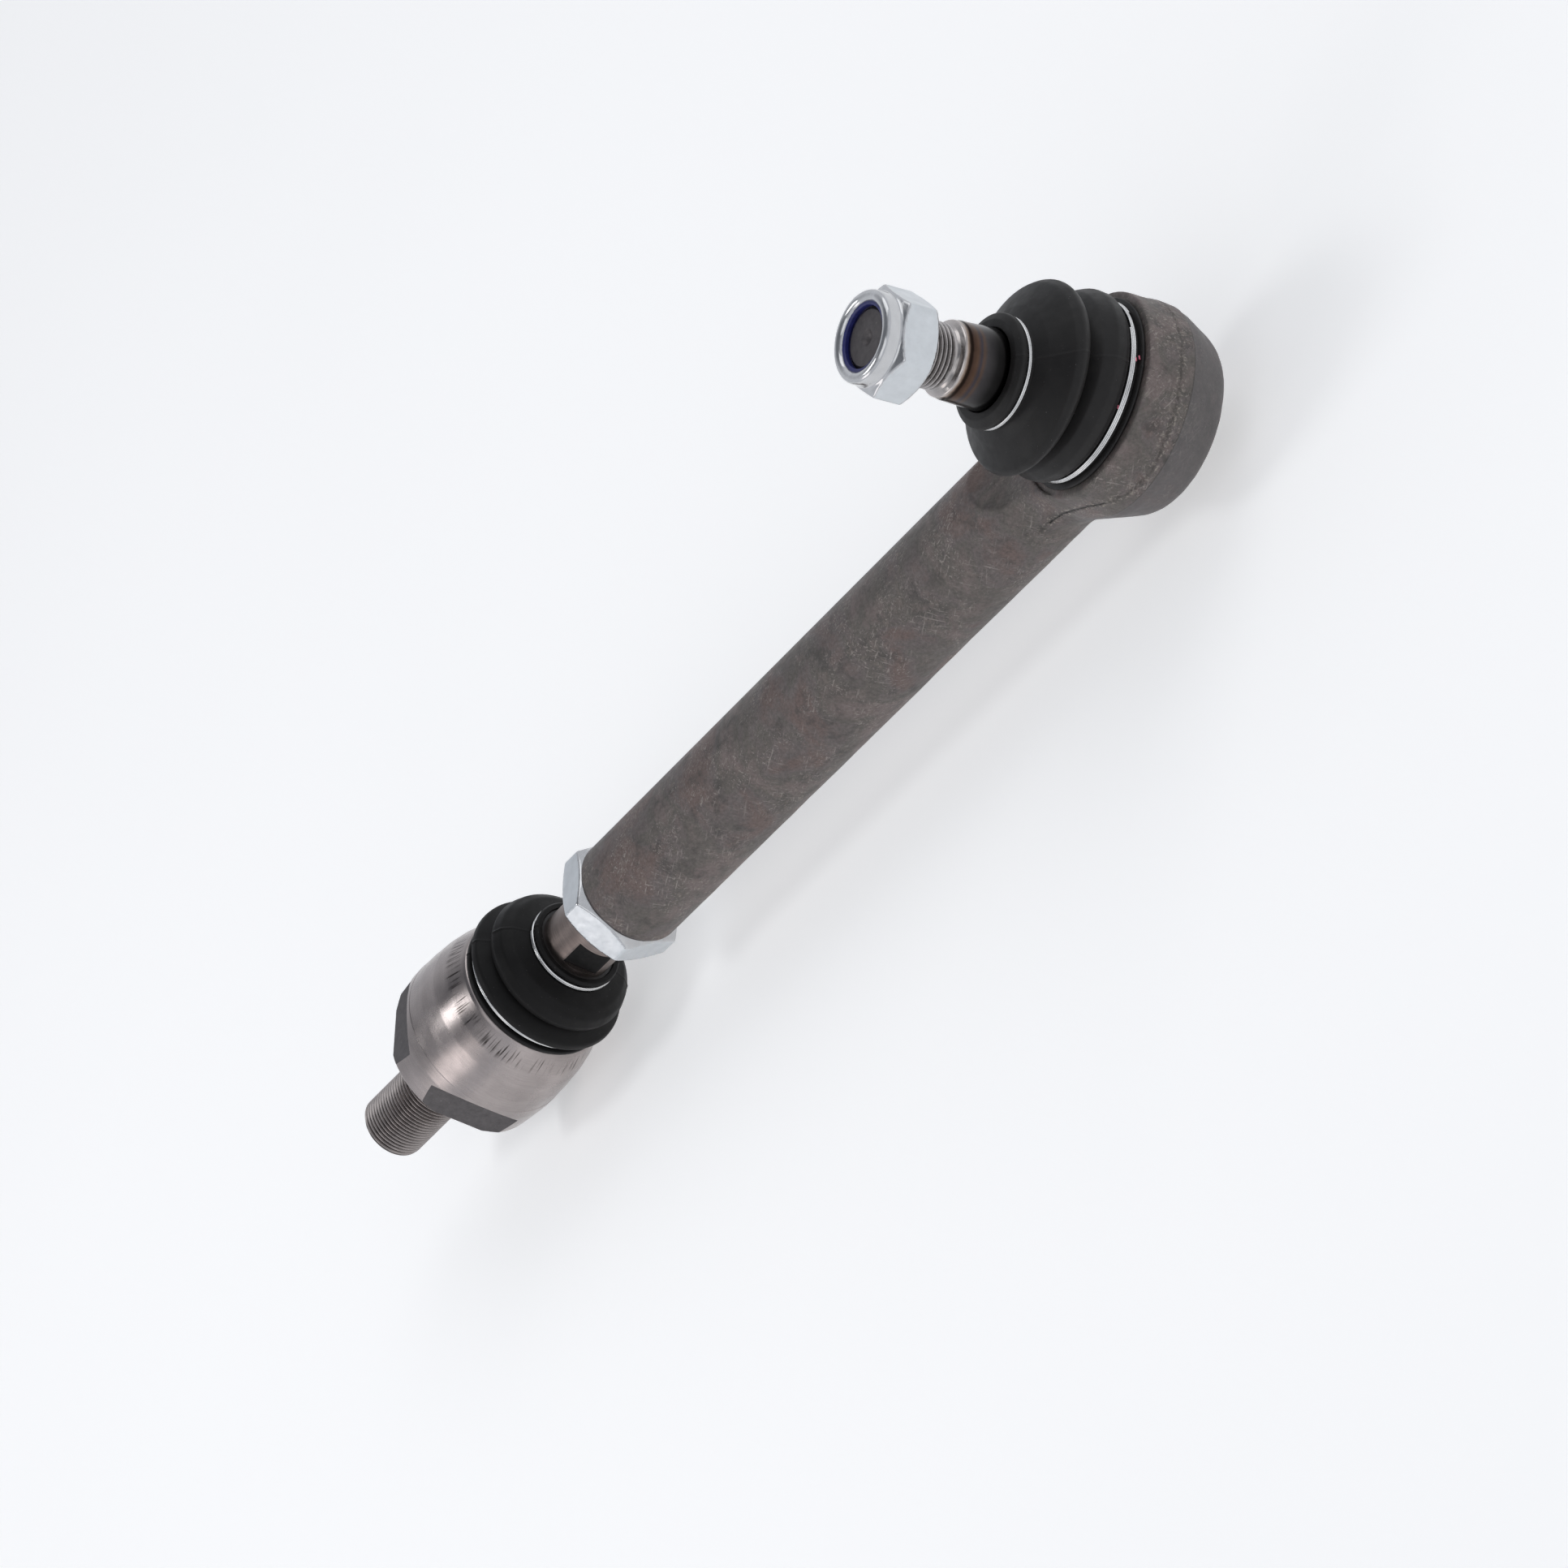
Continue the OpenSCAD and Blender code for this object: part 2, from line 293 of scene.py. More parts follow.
def soft_min(a, b, k):
    return -soft_max(-a, -b, k)


def cells_round(at, u, v):
    """The four cells that share each lattice edge, in order round it, as indices."""
    for du, dv in ((0, 0), (1, 0), (1, 1), (0, 1)):
        cell = at.copy()
        cell[:, u] -= du
        cell[:, v] -= dv
        yield tuple(cell.T)


def net(field, xs, ys, zs, steps=3):
    """Naive surface nets over field(points) < 0, then each vertex is drawn onto the surface."""
    shape = (len(xs), len(ys), len(zs))
    grid = np.stack(np.meshgrid(xs, ys, zs, indexing="ij"), -1).reshape(-1, 3)
    values = np.concatenate([field(part) for part in np.array_split(grid, 12)]).reshape(shape)
    axes = (np.asarray(xs, float), np.asarray(ys, float), np.asarray(zs, float))
    total = np.zeros((*[n - 1 for n in shape], 3))
    count = np.zeros([n - 1 for n in shape], int)
    edges = []
    for axis in range(3):
        lo = tuple(slice(0, -1) if i == axis else slice(None) for i in range(3))
        hi = tuple(slice(1, None) if i == axis else slice(None) for i in range(3))
        a, b = values[lo], values[hi]
        at = np.argwhere((a < 0) != (b < 0))
        va, vb = a[tuple(at.T)], b[tuple(at.T)]
        t = va / (va - vb)
        p = np.stack([axes[i][at[:, i]] for i in range(3)], -1)
        p[:, axis] += t * (axes[axis][at[:, axis] + 1] - axes[axis][at[:, axis]])
        u, v = [i for i in range(3) if i != axis]
        keep = (at[:, u] > 0) & (at[:, u] < shape[u] - 1) & (at[:, v] > 0) & (at[:, v] < shape[v] - 1)
        at, p, inward = at[keep], p[keep], (va[keep] < 0)
        for cell in cells_round(at, u, v):
            np.add.at(total, cell, p)
            np.add.at(count, cell, 1)
        edges.append((axis, u, v, at, inward))
    used = count > 0
    index = np.full(count.shape, -1)
    index[used] = np.arange(used.sum())
    pts = total[used] / count[used][:, None]
    quads = []
    for axis, u, v, at, inward in edges:
        q = np.stack([index[cell] for cell in cells_round(at, u, v)], -1)
        flip = inward if axis != 1 else ~inward
        q[~flip] = q[~flip][:, ::-1]
        quads.append(q)
    e = 0.05
    for _ in range(steps):
        d = field(pts)
        g = np.stack([(field(pts + np.eye(3)[i] * e) - d) / e for i in range(3)], -1)
        n2 = np.maximum((g * g).sum(1), 0.2)
        pts = pts - np.clip(d / n2, -0.4, 0.4)[:, None] * g
    return pts, np.vstack(quads)


def normals_of(field, pts, e=0.15):
    g = np.stack([field(pts + np.eye(3)[i] * e) - field(pts - np.eye(3)[i] * e) for i in range(3)], -1)
    return g / np.maximum(np.linalg.norm(g, axis=1), 1e-9)[:, None]


# ---- pieces
def piece(name, pts, faces, mats, body, stands_for=(), sharp=None, pick=None, blend=None):
    """A mesh piece from row-frame millimetres. pick(centres, normals) gives material numbers."""
    mesh = bpy.data.meshes.new(name)
    faces = faces.tolist() if isinstance(faces, np.ndarray) else faces
    mesh.from_pydata((np.asarray(pts) * MM).tolist(), [], faces)
    obj = bpy.data.objects.new(name, mesh)
    bpy.context.scene.collection.objects.link(obj)
    tidy_mesh(mesh)
    for m in mats:
        mesh.materials.append(m)
    mesh.shade_smooth()
    if sharp:
        mesh.set_sharp_from_angle(angle=math.radians(sharp))
    if pick:
        n = len(mesh.polygons)
        centres, normals = np.empty(n * 3), np.empty(n * 3)
        mesh.polygons.foreach_get("center", centres)
        mesh.polygons.foreach_get("normal", normals)
        numbers = pick(centres.reshape(-1, 3) / MM, normals.reshape(-1, 3))
        mesh.polygons.foreach_set("material_index", np.asarray(numbers, dtype=np.int32))
    if blend:
        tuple(blend[0])
        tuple(blend[1])
        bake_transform(obj)
    else:
        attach(obj, body)
    if stands_for:
        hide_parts(*stands_for)
    return obj


def tidy_mesh(mesh):
    """Doubled points and empty faces are removed, and the faces turned outwards."""
    b = bmesh.new()
    b.from_mesh(mesh)
    bmesh.ops.remove_doubles(b, verts=b.verts, dist=2e-6)
    bmesh.ops.dissolve_degenerate(b, edges=b.edges, dist=1e-6)
    bmesh.ops.recalc_face_normals(b, faces=b.faces)
    b.to_mesh(mesh)
    b.free()


# ---- materials
class Look:
    """One procedural material. Lengths given to its textures are millimetres."""

    def __init__(self, name, roughness=0.5, metallic=0.0, colour=(0.5, 0.5, 0.5), **sockets):
        self.mat = bpy.data.materials.new(name)
        self.mat.use_nodes = True
        self.tree = self.mat.node_tree
        self.shader = self.tree.nodes["Principled BSDF"]
        self.set("Base Color", (*colour, 1))
        self.set("Roughness", roughness)
        self.set("Metallic", metallic)
        for key, value in sockets.items():
            self.set(key.replace("_", " "), value)
        self.coord = self.node("ShaderNodeTexCoord").outputs["Object"]
        self.height = None

    def node(self, kind, **values):
        n = self.tree.nodes.new(kind)
        for key, value in values.items():
            setattr(n, key, value)
        return n

    def link(self, a, b):
        self.tree.links.new(a, b)

    def set(self, key, value):
        self.shader.inputs[key].default_value = value

    def mm(self, stretch=(1, 1, 1), turn=(0, 0, 0)):
        """Object coordinates in millimetres, turned and then stretched per axis."""
        m = self.node("ShaderNodeMapping", vector_type="TEXTURE")
        m.inputs["Scale"].default_value = [s * MM for s in stretch]
        m.inputs["Rotation"].default_value = turn
        self.link(self.coord, m.inputs["Vector"])
        return m.outputs["Vector"]

    def noise(self, size, detail=3.0, rough=0.55, stretch=(1, 1, 1), distortion=0.0, turn=(0, 0, 0)):
        n = self.node("ShaderNodeTexNoise")
        n.inputs["Scale"].default_value = 1.0 / size
        n.inputs["Detail"].default_value = detail
        n.inputs["Roughness"].default_value = rough
        n.inputs["Distortion"].default_value = distortion
        self.link(self.mm(stretch, turn), n.inputs["Vector"])
        return n.outputs["Fac"]

    def around_rod(self, size, length):
        """Noise on a developed cylinder: features size mm round the rod and length mm along it."""
        split = self.node("ShaderNodeSeparateXYZ")
        self.link(self.coord, split.inputs["Vector"])
        turn = self.math("ARCTAN2", split.outputs["Z"], split.outputs["Y"])
        flat = self.node("ShaderNodeCombineXYZ")
        self.link(self.times(turn, 27.0 / size), flat.inputs["X"])
        self.link(self.times(split.outputs["X"], 1000.0 / length), flat.inputs["Y"])
        n = self.node("ShaderNodeTexNoise")
        n.inputs["Scale"].default_value = 1.0
        n.inputs["Detail"].default_value = 1.0
        self.link(flat.outputs["Vector"], n.inputs["Vector"])
        return n.outputs["Fac"]

    def ramp(self, source, stops):
        """stops: [(position, value or colour)]."""
        n = self.node("ShaderNodeValToRGB")
        e = n.color_ramp.elements
        while len(e) < len(stops):
            e.new(0.5)
        for el, (pos, value) in zip(e, stops):
            el.position = pos
            el.color = (value, value, value, 1) if isinstance(value, (int, float)) else (*value, 1)
        self.link(source, n.inputs["Fac"])
        return n.outputs["Color"]

    def between(self, source, low, high):
        """The usual spread of a noise, from low to high."""
        return self.ramp(source, [(0.3, low), (0.7, high)])

    def math(self, op, a, b=None, c=None, clamp=False):
        n = self.node("ShaderNodeMath", operation=op, use_clamp=clamp)
        for i, v in enumerate((a, b, c)):
            if v is None:
                continue
            if isinstance(v, (int, float)):
                n.inputs[i].default_value = v
            else:
                self.link(v, n.inputs[i])
        return n.outputs["Value"]

    def times(self, a, b):
        return self.math("MULTIPLY", a, b)

    def mix(self, factor, a, b, how="MIX"):
        n = self.node("ShaderNodeMix", data_type="RGBA", blend_type=how)
        n.clamp_factor = True
        for socket, v in ((n.inputs[0], factor), (n.inputs[6], a), (n.inputs[7], b)):
            if isinstance(v, (int, float)):
                socket.default_value = v
            elif isinstance(v, tuple):
                socket.default_value = (*v, 1)
            else:
                self.link(v, socket)
        return n.outputs[2]

    def bump(self, source, depth):
        """Adds a bump of depth mm."""
        n = self.node("ShaderNodeBump")
        n.inputs["Strength"].default_value = 1.0
        n.inputs["Distance"].default_value = depth * MM
        self.link(source, n.inputs["Height"])
        if self.height is not None:
            self.link(self.height, n.inputs["Normal"])
        self.height = n.outputs["Normal"]
        self.link(self.height, self.shader.inputs["Normal"])

    def along(self, axis, origin):
        """Distance in mm of a point along a unit axis from origin (mm)."""
        d = self.node("ShaderNodeVectorMath", operation="DOT_PRODUCT")
        self.link(self.coord, d.inputs[0])
        d.inputs[1].default_value = [1000.0 * x for x in axis]
        return self.math("SUBTRACT", d.outputs["Value"], float(np.dot(axis, origin)))

    def off_axis(self, axis, origin):
        """Distance in mm of a point from the line through origin along a unit axis."""
        s = self.node("ShaderNodeVectorMath", operation="SUBTRACT")
        self.link(self.coord, s.inputs[0])
        s.inputs[1].default_value = [x * MM for x in origin]
        c = self.node("ShaderNodeVectorMath", operation="CROSS_PRODUCT")
        self.link(s.outputs["Vector"], c.inputs[0])
        c.inputs[1].default_value = [1000.0 * x for x in axis]
        n = self.node("ShaderNodeVectorMath", operation="LENGTH")
        self.link(c.outputs["Vector"], n.inputs[0])
        return n.outputs["Value"]

    def colour(self, source):
        self.link(source, self.shader.inputs["Base Color"])

    def roughness(self, noise, low, high):
        self.link(self.between(noise, low, high), self.shader.inputs["Roughness"])


def grey(v):
    return (v, v, v)


def make_forging():
    """Scaled, handled forging skin: clouds, grain, dark stains, pale wear and the parting line."""
    m = Look("forged_skin", metallic=0.5)
    cloud = m.ramp(m.noise(22, 5, 0.6, distortion=0.5), [
        (0.38, (0.147, 0.110, 0.101)), (0.48, (0.138, 0.119, 0.115)), (0.54, (0.120, 0.109, 0.099)),
        (0.64, (0.168, 0.137, 0.130))])
    grain = m.ramp(m.noise(1.0, 4, 0.65), [(0.30, grey(0.78)), (0.52, grey(1.0)), (0.72, grey(1.22))])
    col = m.mix(1.0, cloud, grain, "MULTIPLY")
    dark = m.ramp(m.noise(7, 5, 0.65), [(0.53, 0.0), (0.68, 0.75)])
    col = m.mix(dark, col, (0.066, 0.062, 0.058))
    # pale speckle and short scratches, in patches
    patch = m.ramp(m.noise(15, 3, 0.6), [(0.42, 0.0), (0.58, 1.0)])
    worn = m.ramp(m.noise(3.0, 5, 0.75), [(0.52, 0.0), (0.66, 0.55)])
    col = m.mix(m.times(worn, patch), col, (0.235, 0.198, 0.176))
    for turn in ((0.3, 0.5, 0.9), (-0.5, 1.0, -0.5), (0.9, -0.4, 0.2)):
        line = m.noise(0.62, 2, 0.5, (11, 1, 1), 0.35, turn)
        strength = m.times(m.ramp(line, [(0.62, 0.0), (0.70, 0.7)]), patch)
        col = m.mix(strength, col, (0.32, 0.285, 0.262))
    # marks carried by the mesh: height over the parting line, the fold's strength, height over the cone
    marks = m.node("ShaderNodeAttribute", attribute_name="marks")
    split = m.node("ShaderNodeSeparateXYZ")
    m.link(marks.outputs["Vector"], split.inputs["Vector"])
    gap, fold, cone = split.outputs["X"], split.outputs["Y"], split.outputs["Z"]
    near = m.math("ABSOLUTE", gap)
    crumbs = m.ramp(m.noise(1.6, 4, 0.7), [(0.38, 0.15), (0.54, 0.9)])
    drift = m.math("ADD", gap, m.math("MULTIPLY_ADD", m.noise(4, 4, 0.6), 2.4, -1.2))
    band = m.times(m.ramp(m.math("ABSOLUTE", drift), [(0.15, 0.68), (1.35, 0.0)]), crumbs)
    col = m.mix(m.times(band, fold), col, (0.050, 0.044, 0.038))
    lit = m.ramp(m.noise(0.9, 2, 0.5), [(0.54, 0.0), (0.64, 1.0)])
    rim = m.ramp(m.math("DIVIDE", near, 10.0), [(0.05, 0.3), (0.10, 0.8), (0.22, 0.0)])
    col = m.mix(m.times(m.times(rim, lit), fold), col, (0.31, 0.275, 0.24))
    crack = m.math("GREATER_THAN", fold, 1.02)
    wander = m.math("MULTIPLY_ADD", m.noise(1.5, 3, 0.6), 1.4, -0.7)
    line = m.ramp(m.math("ABSOLUTE", m.math("ADD", gap, wander)), [(0.15, 1.0), (0.5, 0.0)])
    col = m.mix(m.times(m.times(line, crack), 0.95), col, (0.012, 0.010, 0.009))
    turned = m.ramp(m.math("MULTIPLY_ADD", cone, -0.5, 0.5), [(0.45, 0.0), (0.6, 0.65)])
    plain = m.between(m.noise(3, 4, 0.6), (0.098, 0.094, 0.096), (0.142, 0.134, 0.135))
    col = m.mix(turned, col, plain)
    step = m.ramp(m.math("ABSOLUTE", cone), [(0.08, 0.55), (0.45, 0.0)])
    col = m.mix(step, col, (0.045, 0.042, 0.040))
    m.colour(col)
    m.roughness(m.noise(3, 4, 0.6), 0.46, 0.64)
    m.bump(m.noise(6, 5, 0.6), 0.16)
    m.bump(m.noise(0.8, 3, 0.6), 0.03)
    m.bump(m.times(band, fold), -0.11)
    return m.mat


def make_turned(name, base, axis_stretch, depth=0.012, rough=(0.2, 0.36), line=0.14):
    """Turned steel with fine tool lines. Returns the look, so that marks can be added."""
    m = Look(name, metallic=1.0)
    tone = m.ramp(m.noise(16, 3, 0.5), [(0.3, tuple(c * 0.8 for c in base)), (0.55, base),
                                        (0.75, tuple(min(1, c * 1.18) for c in base))])
    lines = m.noise(0.45, 2, 0.5, axis_stretch)
    tone = m.mix(1.0, tone, m.between(lines, grey(1 - line), grey(1 + line * 0.7)), "MULTIPLY")
    m.colour(tone)
    m.tone = tone
    m.roughness(m.noise(5, 4, 0.6), rough[0], rough[1])
    m.bump(lines, depth)
    return m


def add_crimp_marks(m):
    """Short dark strokes along the rod, in groups, where the rim was rolled in."""
    x = m.along(AXIS_X, (0, 0, 0))
    belt = m.ramp(m.math("DIVIDE", x, 50.0), [(0.72, 0.0), (0.77, 1.0), (0.83, 1.0), (0.865, 0.0)])
    stroke = m.ramp(m.around_rod(0.75, 14.0), [(0.53, 0.0), (0.62, 1.0)])
    group = m.ramp(m.around_rod(11.0, 60.0), [(0.38, 0.0), (0.54, 1.0)])
    mark = m.times(m.times(belt, stroke), group)
    m.colour(m.mix(mark, m.tone, (0.055, 0.047, 0.043)))


def make_milled(name, low, high):
    """Dull milled or blackened steel with a few bright specks."""
    m = Look(name, roughness=0.55, metallic=0.8)
    col = m.between(m.noise(2.2, 4, 0.7), low, high)
    speck = m.ramp(m.noise(0.5, 2, 0.5), [(0.72, 0.0), (0.80, 0.8)])
    m.colour(m.mix(speck, col, tuple(min(1, c * 4) for c in high)))
    m.bump(m.noise(0.8, 3, 0.6), 0.02)
    return m.mat


def make_zinc(name, tint, rough):
    """Bright zinc plating, slightly mottled."""
    m = Look(name, metallic=0.9)
    col = m.between(m.noise(5, 4, 0.6), tuple(0.88 * c for c in tint), tint)
    speck = m.ramp(m.noise(0.6, 2, 0.5), [(0.70, 0.0), (0.80, 0.5)])
    m.colour(m.mix(speck, col, (0.45, 0.47, 0.5)))
    m.roughness(m.noise(3, 4, 0.6), rough[0], rough[1])
    m.bump(m.noise(2.2, 3, 0.6), 0.03)
    return m.mat


def make_rubber(name, low, high, gloss):
    """Black moulded rubber with a little dust."""
    m = Look(name, roughness=0.5, colour=low, Specular_IOR_Level=gloss)
    tone = m.between(m.noise(6, 4, 0.6), low, high)
    dust = m.ramp(m.noise(0.45, 1, 0.5), [(0.775, 0.0), (0.82, 0.8)])
    m.colour(m.mix(dust, tone, (0.16, 0.15, 0.15)))
    m.roughness(m.noise(4, 4, 0.6), 0.44, 0.58)
    m.bump(m.noise(1.2, 4, 0.6), 0.02)
    return m.mat


def make_wire():
    m = Look("ring_wire", metallic=1.0, roughness=0.22)
    m.colour(m.between(m.noise(4.0, 3, 0.5), grey(0.62), grey(0.76)))
    m.roughness(m.noise(2.0, 3, 0.6), 0.24, 0.30)
    return m.mat


def make_plastic(name, low, high, size=3.0, roughness=(0.35, 0.5)):
    m = Look(name)
    m.colour(m.between(m.noise(size, 3, 0.5), low, high))
    m.roughness(m.noise(size / 2, 3, 0.5), roughness[0], roughness[1])
    m.bump(m.noise(size / 4, 2, 0.5), 0.015)
    return m.mat


def make_thread_steel(name, axis, origin, major, base):
    """Bright crests and dark roots, painted by distance from the axis: a painted highlight on the crests and
    painted shade in the roots.
    """
    m = Look(name, metallic=1.0, roughness=0.28)
    r = m.off_axis(axis, origin)
    plain, root, flank = major - 1.6, major - 0.95, major - 0.4
    # factors on the base colour by radius: painted shade in the roots, a painted highlight on the crests
    shade = [(0.0, 0.62), (plain, 0.62), (root, 0.18), (flank, 0.6), (major, 1.0)]
    tone = m.ramp(m.math("DIVIDE", r, major), [(at / major, tuple(c * k for c in base)) for at, k in shade])
    m.colour(m.mix(1.0, tone, m.between(m.noise(3, 4, 0.6), grey(0.8), grey(1.1)), "MULTIPLY"))
    m.roughness(m.noise(1.5, 3, 0.6), 0.22, 0.4)
    m.bump(m.noise(0.5, 2, 0.5), 0.01)
    return m.mat


def make_seat():
    """The stud's taper seat: black by the boot, grey-blue, straw and brown tints, bright shoulder."""
    m = Look("stud_seat", metallic=1.0, roughness=0.3)
    h = m.along(STUD_AXIS, (HEAD_X, 0, 0))
    wander = m.math("MULTIPLY_ADD", m.noise(5, 3, 0.6), 1.0, -0.5)
    low, span = 48.0, 18.0
    place = m.math("MULTIPLY_ADD", m.math("ADD", h, wander), 1 / span, -low / span, clamp=True)
    stops = [(48.5, (0.006, 0.0055, 0.0055)), (51.5, (0.014, 0.0135, 0.0135)), (53.5, (0.034, 0.032, 0.033)),
             (55.3, (0.052, 0.048, 0.050)), (56.4, (0.086, 0.058, 0.046)), (57.2, (0.046, 0.043, 0.052)),
             (58.4, (0.088, 0.053, 0.037)), (59.7, (0.060, 0.036, 0.027)), (60.3, (0.020, 0.013, 0.010)),
             (60.9, (0.024, 0.015, 0.011)), (61.6, (0.26, 0.195, 0.155)), (62.4, (0.56, 0.52, 0.50)),
             (64.8, (0.34, 0.325, 0.32))]
    col = m.ramp(place, [((x - low) / span, c) for x, c in stops])
    blotch = m.ramp(m.noise(4.0, 2, 0.5), [(0.35, grey(0.88)), (0.65, grey(1.06))])
    m.colour(m.mix(1.0, col, blotch, "MULTIPLY"))
    m.roughness(m.noise(3, 3, 0.6), 0.15, 0.24)
    m.bump(m.noise(0.45, 2, 0.5, (8, 8, 1)), 0.002)
    return m.mat


FORGING = make_forging()
ROUND_X = (1, 14, 14)                # noise stretched round the rod's axis
HOUSING = make_turned("housing_steel", (0.380, 0.340, 0.331), ROUND_X, depth=0.003, rough=(0.21, 0.31),
                      line=0.06)
add_crimp_marks(HOUSING)
SHANK = make_turned("shank_steel", (0.26, 0.217, 0.201), ROUND_X, depth=0.03, rough=(0.32, 0.46))
PLATE = make_turned("plate_steel", (0.42, 0.41, 0.40), (9, 9, 9), depth=0.01, rough=(0.3, 0.45))
MILLED = make_milled("milled_flat", (0.094, 0.087, 0.089), (0.134, 0.124, 0.126))
MILLED_DARK = make_milled("milled_dark", (0.010, 0.010, 0.010), (0.019, 0.018, 0.018))
ZINC = make_zinc("zinc_plate", (0.66, 0.69, 0.715), (0.28, 0.42))
ZINC_TURNED = make_zinc("zinc_turned", (0.60, 0.605, 0.615), (0.12, 0.20))
RUBBER_OUTER = make_rubber("boot_rubber", (0.0085, 0.0078, 0.0078), (0.0125, 0.0115, 0.0112), 0.30)
RUBBER_INNER = make_rubber("boot_rubber_dark", (0.0030, 0.0028, 0.0028), (0.0050, 0.0046, 0.0046), 0.20)
WIRE = make_wire()
ACETAL = make_plastic("race_acetal", (0.70, 0.67, 0.58), (0.78, 0.75, 0.66))
BLACK = make_plastic("black_acetal", (0.010, 0.010, 0.010), (0.016, 0.015, 0.015))
NYLON = make_plastic("insert_nylon", (0.012, 0.015, 0.105), (0.020, 0.025, 0.15), 1.5)
PAINT = make_plastic("paint_dab", (0.50, 0.10, 0.16), (0.62, 0.16, 0.22), 0.8)
STUB_THREAD = make_thread_steel("stub_thread", AXIS_X, (0, 0, 0), STUB_R, (0.40, 0.365, 0.355))
PIN_THREAD = make_thread_steel("pin_thread", AXIS_X, (0, 0, 0), PIN_R, (0.46, 0.43, 0.42))
STUD_THREAD = make_thread_steel("stud_thread", tuple(STUD_AXIS), (HEAD_X, 0, 0), STUD_R, (0.60, 0.57, 0.56))
SEAT = make_seat()


# ---- forged rod
HEAD_WIDE_Z = -3.8                   # below this the head is turned to a cone
HEAD_TOP = 11.2                      # the head's shoulder round the collar
HEAD_FOOT = -20.0
TUBE_R = 18.0


def parting_height(x, y):
    """Height of the forging's parting line round the head and along the stem."""
    around = [-180, -150, -128, -116, -103, -88, -72, -58, -30, 40, 90, 140, 180]
    height = [1.5, 1.6, 3.3, 4.0, 2.2, 0.0, -1.3, -0.2, 0.5, 1.4, 0.2, 1.5, 1.5]
    return np.interp(np.degrees(np.arctan2(y, x)), around, height)


def rod_field(p):
    """Distance in mm from the smooth forging, less than 0 inside."""
    x, y, z = p[:, 0] - HEAD_X, p[:, 1], p[:, 2]
    round_r = np.hypot(y, z)
    head_r = np.hypot(x, y)
    tube = soft_max(round_r - TUBE_R, x + 8.0, 2.0)
    outline_z = [-21, -20, -14, -10, -7, -4.2, HEAD_WIDE_Z, -1.0, 2, 5, 11.5]
    outline_r = [25.4, 26.2, 28.9, 30.5, 31.7, 32.25, 32.6, 32.6, 32.3, 32.0, 31.5]
    head = soft_max(head_r - np.interp(z, outline_z, outline_r), HEAD_FOOT - z, 5.0)
    head = soft_max(head, z - HEAD_TOP, 1.0)
    body = soft_min(tube, head, 11.0)
    # the scoop beside the boot, the step round the shoulder and the boot's collar
    scoop = np.where(x > -38, 12.4 - z, np.hypot(x + 38, z - 34.4) - 22.0)
    body = soft_max(body, -scoop, 1.0)
    body = soft_max(body, -soft_max(head_r - 30.9, HEAD_TOP - z, 0.3), 0.5)
    collar = soft_max(soft_max(head_r - 25.2, z - 16.5, 0.5), -z, 0.5)
    body = np.minimum(body, collar)
    # socket, cover seat and the stud's mouth
    body = soft_max(body, -np.maximum(head_r - 19.0, np.abs(z + 5.0) - 12.5), 0.2)
    body = soft_max(body, -np.maximum(head_r - 21.4, np.abs(z + 17.5) - 1.0), 0.2)
    body = soft_max(body, -np.maximum(head_r - 19.6, z + 18.0), 0.5)
    mouth = np.maximum(head_r - (15.5 + (z - 7.5) * 0.61), 7.4 - z)
    body = soft_max(body, -mouth, 0.4)
    # tube end and its threaded bore
    body = soft_max(body, TUBE_END - p[:, 0], 0.8)
    bore = np.maximum(round_r - 12.1, p[:, 0] - (TUBE_END + 85))
    lead = np.maximum(round_r - 10.5, p[:, 0] - (TUBE_END + 96))
    return soft_max(body, -np.minimum(bore, lead), 0.3)


def in_fold(x, y):
    """1 in the fillet between stem and head, on the -Y side, where the flash folded over."""
    turn = np.degrees(np.arctan2(y, x))
    return np.clip((turn + 154) / 8, 0, 1) * np.clip((-104 - turn) / 8, 0, 1)


def rod_detail(p):
    """Height in mm that stands out of the smooth forging."""
    x, y, z = p[:, 0] - HEAD_X, p[:, 1], p[:, 2]
    outside = (np.hypot(x, y) > 22) & (np.hypot(y, z) > 13) & (z < 12.2)
    out = 0.10 * value_noise(p, 9.0, 3) + 0.05 * value_noise(p, 3.0, 4)
    out += 0.03 * value_noise(p, 1.1, 5) * np.clip((x + 75) / 20, 0, 1)
    gap = np.abs(z - parting_height(x, y))
    near = np.clip((x + 62) / 20, 0, 1)
    rough = 0.5 + 0.5 * value_noise(p, 1.4, 6)
    out += near * 0.22 * np.exp(-((gap / 1.3) ** 2)) * (0.3 + rough)
    out += near * 0.24 * np.exp(-((gap / 2.0) ** 2)) * (rough - 0.5)
    out -= 0.5 * in_fold(x, y) * np.exp(-((gap / 0.6) ** 2)) * rough
    # one pit beside the fold
    pit = np.sqrt((x + 44.4) ** 2 / 2.2 + (y + 17.6) ** 2 + (z - 3.6) ** 2 / 0.45)
    out -= 0.7 * np.exp(-((pit / 0.55) ** 2))
    return np.where(outside, out, 0.0)


